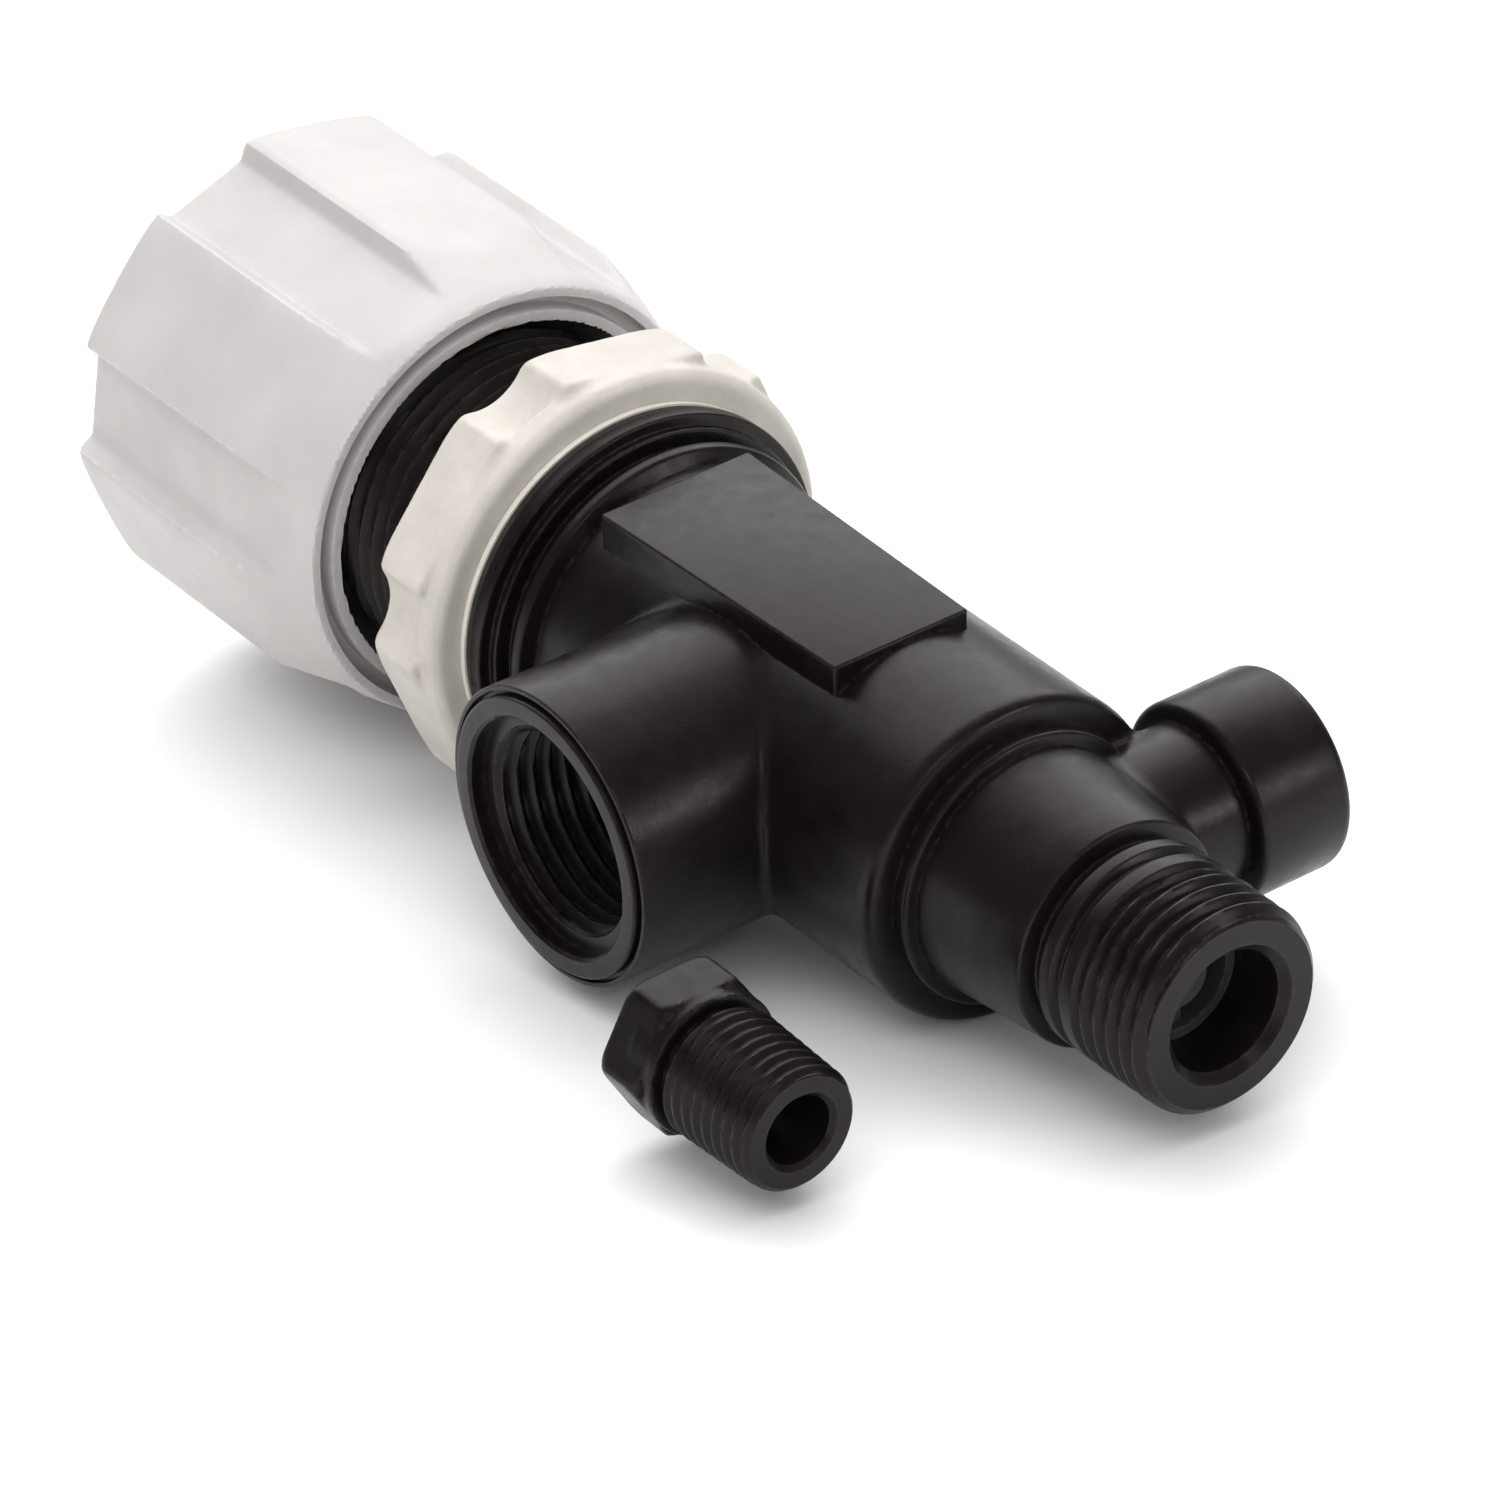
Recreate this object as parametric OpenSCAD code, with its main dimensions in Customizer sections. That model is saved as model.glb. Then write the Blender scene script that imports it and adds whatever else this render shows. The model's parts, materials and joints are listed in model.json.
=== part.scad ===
// Panel-mounted fill valve: a hand knob drives a plunger against a seat in a moulded body.
// The main axis is Y: the knob is towards -Y and the outlet towards +Y. The origin is on that
// axis, in the flange's rear face, where the body seats against a panel. +X is the inlet side.

/* [Valve body] */
// Radius of the main barrel
barrel_r = 16.8; // [16.6:0.1:17]
// Radius of the water chamber inside the barrel
chamber_r = 13; // [12.9:0.05:13.1]
// Distance from the panel seat to the shoulder at the end of the barrel
shoulder_y = 58.5; // [58:0.25:59]
// Radius of the flange that seats against the panel
flange_r = 20.1; // [20:0.1:20.4]
// Distance from the panel seat to the outlet end
outlet_end_y = 90; // [89:0.5:92]
// Crest radius of the half-inch outlet thread
outlet_thread_r = 10.65; // [10.5:0.05:10.8]
// Length of the outlet thread
outlet_thread_len = 14.9; // [14:0.1:15.2]
// Radius of the passage at the outlet end
outlet_bore_r = 6.2; // [6.1:0.05:6.3]

/* [Inlet port] */
// Distance from the panel seat to the inlet axis
inlet_y = 27.9; // [27.5:0.1:28.3]
// Distance from the main axis to the inlet mouth
inlet_mouth_x = 31.2; // [30.8:0.1:32]
// Outer radius of the inlet at its mouth
inlet_outer_r = 15.3; // [15.1:0.1:15.5]
// Crest radius of the half-inch inlet thread
inlet_bore_r = 9.6; // [9.4:0.05:9.7]

/* [Branch port] */
// Distance from the panel seat to the branch axis
branch_y = 62.1; // [61.8:0.1:62.4]
// Distance from the main axis to the branch mouth
branch_mouth_x = 29.3; // [29:0.1:30]
// Outer radius of the branch's head
branch_outer_r = 10.2; // [10:0.1:10.4]
// Crest radius of the quarter-inch branch thread
branch_bore_r = 5.7; // [5.6:0.05:5.8]

/* [Label pad] */
// Width of the raised pad on top of the barrel, at its flange end
pad_width = 17.4; // [17:0.2:18]
// Width of the pad at its outlet end
pad_front_width = 15.6; // [15:0.2:16]
// Height of the pad's top above the main axis
pad_top_z = 17.5; // [17.3:0.1:18]

/* [Panel clamp] */
// Crest radius of the panel thread on the body
panel_thread_r = 17.5; // [17.4:0.05:17.6]
// Half the width across the lock nut's flats
nut_half_flats = 22.8; // [22.6:0.1:23]
// Distance from the panel seat to the nut's far face
nut_far_y = 10.7; // [10.5:0.1:11]

/* [Knob] */
// Half the width across the knob's six grip flats
knob_half_flats = 25.1; // [25:0.1:25.3]
// Distance of the flute floors from the axis
flute_floor = 23.6; // [23.4:0.1:23.8]
// Distance from the panel seat to the knob's open rim
knob_rim_y = 22; // [21.8:0.1:22.2]
// Distance from the panel seat to the knob's closed end
knob_end_y = 60; // [60:0.1:60.4]

/* [Stem and plunger] */
// Radius of the stem's journal
stem_r = 5; // [4.98:0.01:5.01]
// Side of the square that drives the stem
stem_square = 7; // [6.8:0.1:7]
// Lift of the plunger from shut to fully open
plunger_lift = 6; // [5:0.5:6]
// Radius of the seat washer
seat_washer_r = 8; // [7.9:0.1:8.2]

/* [Adapter bushing] */
// Width across the adapter's flats
adapter_flats = 14.2; // [14:0.1:14.4]
// Crest radius of the adapter's quarter-inch thread
adapter_thread_r = 6.6; // [6.5:0.05:6.7]
// Overall length of the adapter
adapter_len = 19.7; // [19.4:0.1:20]

/* [Hidden] */
$fn = 96;
// Radial gap of a shaft that turns or slides in its bore
run_gap = 0.05;
// Gap between faces that meet without pressing
face_gap = 0.05;
// Length that a cutting shape runs past the face it cuts
past = 1;
six = [0:5];

pad_base_z = 12;
pad_start_y = 8.5;
pad_end_y = 43.7;
rear_y = -26;
bonnet_r = 14;
bonnet_head_y = rear_y - 3;
bonnet_nose_y = -3;
piston_r = chamber_r - 0.1;
piston_y = plunger_lift + 0.8;
drive_thread_end_y = 14;
seat_pocket_y = 50.5;
seat_crest_y = 49;
seat_pocket_end_y = 55.5;
seat_pocket_r = 11.05;
throat_r = 5;
check_seat_y = 69;
check_guide_y = 79.5;
check_guide_len = 3.5;
gasket_t = 0.8;
clamp_washer_t = 0.6;
nut_near_y = gasket_t + clamp_washer_t + 2 * face_gap;
nut_flat_angle = 39;
knob_flat_angle = 39.5;
knob_corner_r = 26.1;
knob_cavity_r = 19.4;
flute_end_y = -33;
knob_wall_y = -55;
knob_recess_y = -56;
stem_end_y = -52.5;
strainer_ledge_x = 17.2;
strainer_rim_t = 1.6;
adapter_pos = [38.3, 57, -2.6];

// Points of an arc about centre c, from angle a0 to a1
function arc(c, r, a0, a1, steps = 6) =
    [for (i = [0:steps]) c + r * [cos(a0 + (a1 - a0) * i / steps), sin(a0 + (a1 - a0) * i / steps)]];

// A solid of revolution about Y, from [radius, y] points
module turned(points) {
    rotate([-90, 0, 0]) rotate_extrude() polygon(points);
}

// A cylinder along Y from y0 to y1
module rod(r, y0, y1) {
    translate([0, y0, 0]) rotate([-90, 0, 0]) cylinder(r = r, h = y1 - y0);
}

// A ring about Y from y0 to y1
module ring(outer_r, inner_r, y0, y1) {
    difference() {
        rod(outer_r, y0, y1);
        rod(inner_r, y0 - past, y1 + past);
    }
}

// An O-ring about Y, with its centre circle at y
module o_ring(centre_r, cord_r, y) {
    translate([0, y, 0]) rotate([-90, 0, 0]) rotate_extrude()
        translate([centre_r, 0]) circle(r = cord_r, $fn = 48);
}

// A solid of revolution about +X through [0, y, 0], from [radius, x] points
module turned_x(points, y) {
    translate([0, y, 0]) rotate([0, 90, 0]) rotate_extrude() polygon(points);
}

module body_shell() {
    neck_y = shoulder_y + 1.7;
    thread_y = outlet_end_y - outlet_thread_len;
    turned(concat(
        [[0, rear_y], [panel_thread_r - 1, rear_y], [panel_thread_r, rear_y + 1], [panel_thread_r, 0]],
        [[flange_r - 0.3, 0], [flange_r, 0.3], [flange_r, 1.5], [flange_r - 0.3, 1.8]],
        [[18.9, 1.8], [18.9, 2.8], [17.2, 2.8], [17.2, 4]],
        arc([17.3, 5], 1, -60, 60), [[barrel_r, 6.6]],
        arc([barrel_r - 1.5, shoulder_y - 1.5], 1.5, 0, 90),
        [[13.9, shoulder_y], [13.9, neck_y - 0.5], [13.4, neck_y], [12.7, neck_y]],
        [[11.6, thread_y - 2.1], [11.3, thread_y - 1.7], [9.9, thread_y - 1.7], [9.9, thread_y - 0.7]],
        [[outlet_thread_r, thread_y], [outlet_thread_r, outlet_end_y - 0.9]],
        [[outlet_thread_r - 0.9, outlet_end_y], [0, outlet_end_y]]
    ));
    // Inlet boss, with a shallow groove behind the mouth's bead
    turned_x(concat(
        [[0, 0], [15, 0], [15, inlet_mouth_x - 2.6], [14.7, inlet_mouth_x - 2.4]],
        [[14.7, inlet_mouth_x - 2], [inlet_outer_r, inlet_mouth_x - 1.8]],
        arc([inlet_outer_r - 0.6, inlet_mouth_x - 0.6], 0.6, 0, 90),
        [[0, inlet_mouth_x]]
    ), inlet_y);
    // Branch boss: a slimmer root and a wider threaded head
    mirror([1, 0, 0]) turned_x(concat(
        [[0, 0], [8.4, 0], [8.4, 18.4], [9.4, 18.4]],
        arc([branch_outer_r - 0.8, 19.2], 0.8, -90, 0),
        arc([branch_outer_r - 1, branch_mouth_x - 1], 1, 0, 90),
        [[0, branch_mouth_x]]
    ), branch_y);
    // Label pad: its lower part is buried in the barrel's wall
    translate([1, 0, pad_base_z]) linear_extrude(pad_top_z - pad_base_z)
        polygon([[-pad_width / 2, pad_start_y], [pad_width / 2, pad_start_y],
                 [pad_front_width / 2, pad_end_y], [-pad_front_width / 2, pad_end_y]]);
}

module valve_body() {
    color("#2b2826") {
        difference() {
            body_shell();
            rod(bonnet_r, rear_y - past, bonnet_nose_y);
            rod(chamber_r, bonnet_nose_y - past, seat_pocket_y);
            rod(seat_pocket_r, seat_pocket_y - past, seat_pocket_end_y);
            rod(throat_r, seat_pocket_end_y - past, check_seat_y + past);
            turned([[0, check_seat_y], [outlet_bore_r, check_seat_y], [outlet_bore_r, outlet_end_y - 0.8],
                    [outlet_bore_r + 0.8, outlet_end_y], [outlet_bore_r + 0.8, outlet_end_y + past],
                    [0, outlet_end_y + past]]);
            turned_x([[0, 0], [8, 0], [8, strainer_ledge_x - strainer_rim_t],
                      [9, strainer_ledge_x - strainer_rim_t], [9, strainer_ledge_x],
                      [inlet_bore_r, strainer_ledge_x], [inlet_bore_r, inlet_mouth_x - 1.1],
                      [inlet_bore_r + 1.1, inlet_mouth_x], [inlet_bore_r + 1.1, inlet_mouth_x + past],
                      [0, inlet_mouth_x + past]], inlet_y);
            mirror([1, 0, 0]) turned_x([[0, 0], [4, 0], [4, branch_mouth_x - 15],
                      [branch_bore_r, branch_mouth_x - 15], [branch_bore_r, branch_mouth_x - 1],
                      [branch_bore_r + 1, branch_mouth_x], [branch_bore_r + 1, branch_mouth_x + past],
                      [0, branch_mouth_x + past]], branch_y);
        }
        // Two keys inside the barrel stop the plunger turning
        for (side = [0, 180])
            rotate([0, side, 0]) translate([-1.2, bonnet_nose_y, chamber_r - 1.4]) cube([2.4, 17, 2]);
    }
}

module flange_gasket() {
    color("#1c1b1a") ring(19.7, panel_thread_r + run_gap, -gasket_t, 0);
}

module clamp_washer() {
    near_y = gasket_t + face_gap;
    color("#d9d3c8") ring(19.9, panel_thread_r + 0.08, -near_y - clamp_washer_t, -near_y);
}

module panel_nut() {
    hex_near_y = nut_near_y + 2.2;
    color("#e6dfd3") intersection() {
        difference() {
            union() {
                rod(23, -hex_near_y - 0.05, -nut_near_y);
                difference() {
                    translate([0, -nut_far_y, 0]) rotate([-90, 0, 0]) rotate([0, 0, -nut_flat_angle - 30])
                        cylinder(r = nut_half_flats / cos(30), h = nut_far_y - hex_near_y, $fn = 6);
                    for (i = six)
                        rotate([0, -nut_flat_angle - 30 - 60 * i, 0]) translate([27.6, 0, 0])
                            rod(5.6, -nut_far_y - past, -hex_near_y);
                }
            }
            rod(panel_thread_r + 0.06, -nut_far_y - past, 0);
        }
        turned([[0, -nut_far_y], [23.4, -nut_far_y], [24.6, -nut_far_y + 1], [24.6, -hex_near_y],
                [23, -nut_near_y - 0.8], [22.2, -nut_near_y], [0, -nut_near_y]]);
    }
}

module knob_shell() {
    intersection() {
        turned(concat(
            [[0, -knob_end_y], [knob_corner_r - 2.4, -knob_end_y]],
            arc([knob_corner_r - 1.6, 1.6 - knob_end_y], 1.6, -70, 0),
            [[knob_corner_r, flute_end_y], [knob_corner_r - 0.6, flute_end_y + 2.6]],
            [[knob_half_flats - 1.3, -knob_rim_y - 2], [knob_half_flats - 1.8, -knob_rim_y - 0.5]],
            [[knob_half_flats - 2.4, -knob_rim_y], [knob_cavity_r + 0.5, -knob_rim_y]],
            [[knob_cavity_r, -knob_rim_y - 0.5], [knob_cavity_r, knob_wall_y + 1]],
            [[knob_cavity_r - 1, knob_wall_y], [0, knob_wall_y]]
        ));
        translate([0, -knob_end_y - past, 0]) rotate([-90, 0, 0]) rotate([0, 0, -knob_flat_angle - 30])
            cylinder(r = knob_half_flats / cos(30), h = knob_end_y, $fn = 6);
    }
}

// One flute: a flat floor between two sloping walls, closed at its front end
module flute() {
    outer = knob_corner_r + past;
    translate([0, flute_end_y, 0]) rotate([90, 0, 0]) linear_extrude(knob_end_y + past + flute_end_y)
        polygon([[flute_floor, -3.1], [25.6, -6.9], [outer, -6.9],
                 [outer, 6.9], [25.6, 6.9], [flute_floor, 3.1]]);
}

module control_knob() {
    hub_front_y = -36;
    socket = stem_square + 2 * run_gap;
    color("#dedad8") difference() {
        union() {
            difference() {
                knob_shell();
                for (i = six) rotate([0, -knob_flat_angle - 30 - 60 * i, 0]) flute();
            }
            rod(8.2, knob_wall_y - past / 2, hub_front_y);
            for (i = six)
                rotate([0, -knob_flat_angle - 60 * i, 0]) translate([7.5, knob_wall_y - past / 2, -0.8])
                    cube([13.2, 9, 1.6]);
        }
        translate([-socket / 2, stem_end_y - 0.5, -socket / 2]) cube([socket, 30, socket]);
        rod(2.3, knob_recess_y - past, knob_wall_y + past + 1);
        rod(9.6, -knob_end_y - past, knob_recess_y);
    }
}

module knob_cap() {
    color("#d3cfcd") turned(concat(
        [[0, 1 - knob_end_y], [8.3, 1 - knob_end_y], [8.3, 2.6 - knob_end_y]],
        [[9.5, 2.6 - knob_end_y], [9.5, -knob_end_y]],
        arc([0, 27.4 - knob_end_y], 28, -71.5, -90, 5)
    ));
}

// A pan-head screw along +Y, with its head's underside at the origin and a cross recess
module pan_screw(head_r, head_h, shank_r, shank_len) {
    difference() {
        turned([[0, -head_h], [head_r - 0.7, -head_h], [head_r, -head_h + 0.9], [head_r, 0],
                [shank_r, 0], [shank_r, shank_len - 0.6], [shank_r - 0.6, shank_len], [0, shank_len]]);
        for (turn = [0, 90])
            rotate([0, turn, 0]) translate([-head_r * 0.55, -head_h - past, -0.4])
                cube([head_r * 1.1, past + head_h * 0.6, 0.8]);
    }
}

module knob_screw() {
    color("#b9b9bb") translate([0, knob_recess_y - 0.8 - face_gap, 0]) pan_screw(3.8, 1.9, 2, 13);
}

module knob_screw_washer() {
    color("#b9b9bb") ring(5, 2.1, knob_recess_y - 0.8, knob_recess_y);
}

module bonnet() {
    color("#34312f") difference() {
        turned([[0, bonnet_head_y], [15.4, bonnet_head_y], [16.2, bonnet_head_y + 0.8],
                [16.2, rear_y - face_gap], [bonnet_r - run_gap, rear_y - face_gap],
                [bonnet_r - run_gap, -8], [12.2, -8], [12.2, -5.6], [bonnet_r - run_gap, -5.6],
                [bonnet_r - run_gap, bonnet_nose_y - 1], [bonnet_r - 1, bonnet_nose_y - face_gap],
                [0, bonnet_nose_y - face_gap]]);
        rod(stem_r + run_gap, bonnet_head_y - past, past);
        // Four spanner notches round the head
        for (turn = [0:90:270])
            rotate([0, turn, 0]) translate([12.5, bonnet_head_y - past, -1.5]) cube([5, past + 1.8, 3]);
    }
}

module bonnet_o_ring() {
    color("#161616") o_ring(13.1, 0.85, -6.8);
}

module stem() {
    clip_y = bonnet_head_y - 0.95;
    groove_r = 3.3;
    color("#c9a45c") difference() {
        union() {
            translate([-stem_square / 2, stem_end_y, -stem_square / 2])
                cube([stem_square, 20, stem_square]);
            turned([[0, -34], [stem_r - 0.8, -34], [stem_r, -33.2], [stem_r, clip_y], [4, clip_y],
                    [4, clip_y + 0.85], [stem_r, clip_y + 0.85], [stem_r, -22], [groove_r, -22],
                    [groove_r, -20], [stem_r, -20], [stem_r, -14], [groove_r, -14], [groove_r, -12],
                    [stem_r, -12], [stem_r, bonnet_nose_y + 0.95], [7.5, bonnet_nose_y + 0.95],
                    [7.5, 0], [stem_r - 0.1, 0], [stem_r - 0.1, drive_thread_end_y - 0.8],
                    [stem_r - 0.9, drive_thread_end_y], [0, drive_thread_end_y]]);
        }
        rod(2.05, stem_end_y - past, -41.5);
    }
}

module stem_o_rings() {
    color("#161616") for (y = [-21, -13]) o_ring(4.15, 0.8, y);
}

module stem_thrust_washer() {
    color("#efefea") ring(7.5, stem_r + run_gap, bonnet_nose_y + face_gap, bonnet_nose_y + 0.9);
}

module stem_clip() {
    color("#9a9b9d") difference() {
        ring(6.8, 4.05, bonnet_head_y - 0.9, bonnet_head_y - 0.2);
        translate([-2.4, bonnet_head_y - 2, -9]) cube([4.8, 3, 9]);
    }
}

module plunger() {
    holder_y = seat_crest_y - 3;
    color("#ddd8cc") difference() {
        turned([[0, piston_y], [piston_r - 0.5, piston_y], [piston_r, piston_y + 0.5],
                [piston_r, piston_y + 5.5], [piston_r - 0.5, piston_y + 6], [7.2, piston_y + 6],
                [7.2, 24], [5.5, 26], [5.5, 40], [9, 42], [9.2, 42.4], [9.2, holder_y + 1.8],
                [seat_washer_r + 0.1, holder_y + 1.8], [seat_washer_r + 0.1, holder_y], [0, holder_y]]);
        rod(stem_r + run_gap, piston_y - past, 21.5);
        rod(1.65, 37, holder_y + past);
        for (side = [0, 180])
            rotate([0, side, 0]) translate([-1.5, piston_y - past, chamber_r - 1.8]) cube([3, 8, 3]);
        // Six holes let water through the piston
        for (i = six)
            rotate([0, 60 * i, 0]) translate([9.4, 0, 0]) rod(1.3, piston_y - past, piston_y + 7);
    }
}

module seat_washer() {
    color("#22201f") ring(seat_washer_r, 1.7, seat_crest_y - 3 + face_gap / 2, seat_crest_y - face_gap);
}

module seat_washer_screw() {
    color("#c9a45c") translate([0, seat_crest_y - face_gap, 0]) mirror([0, 1, 0])
        pan_screw(3.4, 1.7, 1.6, 11);
}

module seat_ring() {
    outer_r = seat_pocket_r - 0.05;
    far_y = seat_pocket_end_y - face_gap;
    color("#e9e5da") turned([[throat_r, far_y], [outer_r, far_y], [outer_r, 54.2], [9.5, 54.2],
            [9.5, 52.2], [outer_r, 52.2], [outer_r, seat_pocket_y + 0.3], [8.4, seat_pocket_y + 0.3],
            [7.7, seat_crest_y], [6.9, seat_crest_y], [6.2, seat_pocket_y], [6.2, 53]]);
}

module seat_ring_o_ring() {
    color("#161616") o_ring(10.25, 0.72, 53.2);
}

module inlet_strainer() {
    ledge_x = strainer_ledge_x - strainer_rim_t + face_gap;
    color("#cfd2d4") translate([0, inlet_y, 0]) difference() {
        rotate([0, 90, 0]) rotate_extrude() polygon([
            [0, 9.5], [6.6, 9.5], [7.4, 10.3], [7.4, ledge_x], [8.95, ledge_x], [8.95, strainer_ledge_x],
            [6.4, strainer_ledge_x], [6.4, 10.5], [0, 10.5]
        ]);
        // Slots through the basket's wall
        for (i = [0:11])
            rotate([30 * i, 0, 0]) translate([11.2, 4, -0.6]) cube([3.6, 5, 1.2]);
        // Slots through its end
        for (z = [-4:2:4])
            translate([9, -4.2, z - 0.6]) cube([2, 8.4, 1.2]);
    }
}

module check_poppet() {
    color("#e9e5da") turned([[0, 67.4], [2.4, 67.4], [3.3, 68.6], [3.3, 70.15], [5.7, 70.15],
            [5.7, 71.4], [4.6, 72], [1.9, 72], [1.4, 72.6], [1.4, 81.6], [1, 82], [0, 82]]);
}

module check_poppet_seal() {
    color("#161616") ring(5.6, 3.35, check_seat_y + face_gap, 70.1);
}

module check_spring() {
    color("#c4c6c8") ring(3.95, 3.25, 72 + face_gap, check_guide_y - face_gap);
}

module check_guide() {
    color("#34312f") {
        ring(outlet_bore_r - 0.03, 5.1, check_guide_y, check_guide_y + check_guide_len);
        difference() {
            union() {
                rod(2.9, check_guide_y + 0.4, check_guide_y + check_guide_len);
                ring(4.3, 2.2, check_guide_y, check_guide_y + 1.2);
                for (i = [0:2])
                    rotate([0, 90 + 120 * i, 0]) translate([2.2, check_guide_y, -0.7])
                        cube([3.3, 2.4, 1.4]);
            }
            rod(1.46, check_guide_y - past, check_guide_y + check_guide_len + past);
        }
    }
}

module adapter_bushing() {
    hex_len = 5.4;
    shoulder_len = 1.2;
    shoulder_r = 7.2;
    neck_y = hex_len + shoulder_len;
    neck_r = 6;
    color("#262322") translate(adapter_pos) difference() {
        union() {
            intersection() {
                rotate([-90, 0, 0]) cylinder(r = adapter_flats / 2 / cos(30), h = hex_len, $fn = 6);
                turned([[0, 0], [7.3, 0], [8.5, 0.9], [8.5, hex_len - 0.6],
                        [7.6, hex_len], [0, hex_len]]);
            }
            turned([[0, hex_len - 0.1], [shoulder_r, hex_len - 0.1], [shoulder_r, neck_y - 0.2],
                    [neck_r, neck_y], [neck_r, neck_y + 0.7],
                    [adapter_thread_r, neck_y + 1.2], [adapter_thread_r, adapter_len - 0.7],
                    [adapter_thread_r - 0.7, adapter_len], [0, adapter_len]]);
        }
        rod(4.2, -past, 8.7);
        rod(3.5, 0, adapter_len + past);
    }
}

valve_body();
flange_gasket();
clamp_washer();
panel_nut();
control_knob();
knob_cap();
knob_screw();
knob_screw_washer();
bonnet();
bonnet_o_ring();
stem();
stem_o_rings();
stem_thrust_washer();
stem_clip();
plunger();
seat_washer();
seat_washer_screw();
seat_ring();
seat_ring_o_ring();
inlet_strainer();
check_poppet();
check_poppet_seal();
check_spring();
check_guide();
adapter_bushing();
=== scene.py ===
"""Looks of a panel-mounted fill valve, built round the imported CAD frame.

Sizes of the part are in millimetres and in the CAD frame: the main axis is Y, the knob is towards
-Y, the outlet towards +Y, the inlet towards +X and the branch towards -X. The floor, the lights and
the camera are placed in metres.
"""

import itertools
import json
import math

import bpy
import numpy as np
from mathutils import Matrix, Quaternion, Vector


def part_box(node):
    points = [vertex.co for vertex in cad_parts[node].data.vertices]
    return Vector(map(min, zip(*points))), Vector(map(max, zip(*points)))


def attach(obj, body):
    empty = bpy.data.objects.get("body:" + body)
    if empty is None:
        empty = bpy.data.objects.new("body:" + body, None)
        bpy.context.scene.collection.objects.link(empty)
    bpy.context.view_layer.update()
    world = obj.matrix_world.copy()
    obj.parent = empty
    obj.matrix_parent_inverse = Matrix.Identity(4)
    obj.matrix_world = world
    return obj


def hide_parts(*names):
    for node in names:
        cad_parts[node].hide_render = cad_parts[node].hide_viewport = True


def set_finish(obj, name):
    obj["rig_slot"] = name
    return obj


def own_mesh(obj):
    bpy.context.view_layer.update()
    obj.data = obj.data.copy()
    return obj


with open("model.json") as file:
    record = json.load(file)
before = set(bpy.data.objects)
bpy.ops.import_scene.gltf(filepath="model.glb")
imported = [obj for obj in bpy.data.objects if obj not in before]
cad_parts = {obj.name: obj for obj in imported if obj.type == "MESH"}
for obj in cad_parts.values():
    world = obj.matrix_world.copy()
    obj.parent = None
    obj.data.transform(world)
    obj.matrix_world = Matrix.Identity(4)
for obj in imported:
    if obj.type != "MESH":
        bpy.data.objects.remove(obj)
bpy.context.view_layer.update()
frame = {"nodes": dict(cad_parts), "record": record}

MM = 0.001
MOUNTS = {m["name"]: m for m in frame["record"]["mounts"]}
MIDDLE = Vector((0, 0.02, 0))  # the middle of the valve in metres, which the lights aim at
FAR = 60  # a distance beyond every outline, used where a profile crosses its axis
OVERSHOOT = 1  # how far a cutting tool reaches past the face that it opens
MARGIN = 1.2  # how far the grids of the knob's and the nut's surfaces reach past them


def box_mm(node):
    """Lowest and highest corner of a CAD node, in millimetres."""
    low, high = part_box(node)
    return np.array(low) / MM, np.array(high) / MM


def mount_mm(name):
    """Position, radius and length of a round mount, in millimetres."""
    m = MOUNTS[name]
    return np.array(m["pos_m"]) / MM, m["dims"]["r_mm"], m["dims"]["length_mm"]


BODY_LOW, BODY_HIGH = box_mm("valve_body")
NUT_LOW, NUT_HIGH = box_mm("panel_nut")
KNOB_LOW, KNOB_HIGH = box_mm("control_knob")
ADAPTER_LOW, ADAPTER_HIGH = box_mm("adapter_bushing")
REAR_Y = BODY_LOW[1]
OUTLET_Y = BODY_HIGH[1]
INLET_X = BODY_HIGH[0]
BRANCH_X = -BODY_LOW[0]
FLANGE_R = BODY_HIGH[2]
INLET_POS, INLET_R, INLET_LEN = mount_mm("inlet_thread")
BRANCH_POS, BRANCH_R, BRANCH_LEN = mount_mm("branch_thread")
OUTLET_R = mount_mm("outlet_thread")[1]
ADAPTER_POS, ADAPTER_R = mount_mm("adapter_thread")[:2]
SOCKET_R, SOCKET_LEN = mount_mm("adapter_socket")[1:]
INLET_Y = INLET_POS[1]
BRANCH_Y = BRANCH_POS[1]
INLET_AT = (0, INLET_Y, 0)
BRANCH_AT = (0, BRANCH_Y, 0)

BARREL_R = 16.8
INLET_BOSS_R = 15
BRANCH_ROOT_R = 8.4
PAD_START, PAD_END, PAD_FOOT, PAD_TOP = 8.5, 43.7, 12, 17.5
PAD_CENTRE_X, PAD_HALF_W, PAD_FRONT_HALF_W = 1.0, 8.7, 7.8
SHOULDER_Y = 58.5
NECK_R, NECK_START, NECK_END, NECK_SLOPE = 12.7, 60.3, 72, 0.0865
PANEL_THREAD_R = 17.5

CHAMBER_R, CHAMBER_END = 13, 50.5
BONNET_SEAT_R, BONNET_SEAT_Y = 14, -3
SEAT_POCKET_R, SEAT_POCKET_END = 11.05, 55.5
THROAT_R, THROAT_END = 5, 69
OUTLET_BORE_R, OUTLET_LIP_R = 6.2, 7.1

INCH = 25.4
HALF_INCH_PITCH = INCH / 14
QUARTER_INCH_PITCH = INCH / 18
HALF_INCH_DEPTH = 0.95
QUARTER_INCH_DEPTH = 0.75
PIPE_TAPER = 1 / 64
PANEL_PITCH = 2.0
PANEL_THREAD_DEPTH = 1.1


# ---------------------------------------------------------------- mesh tools


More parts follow.
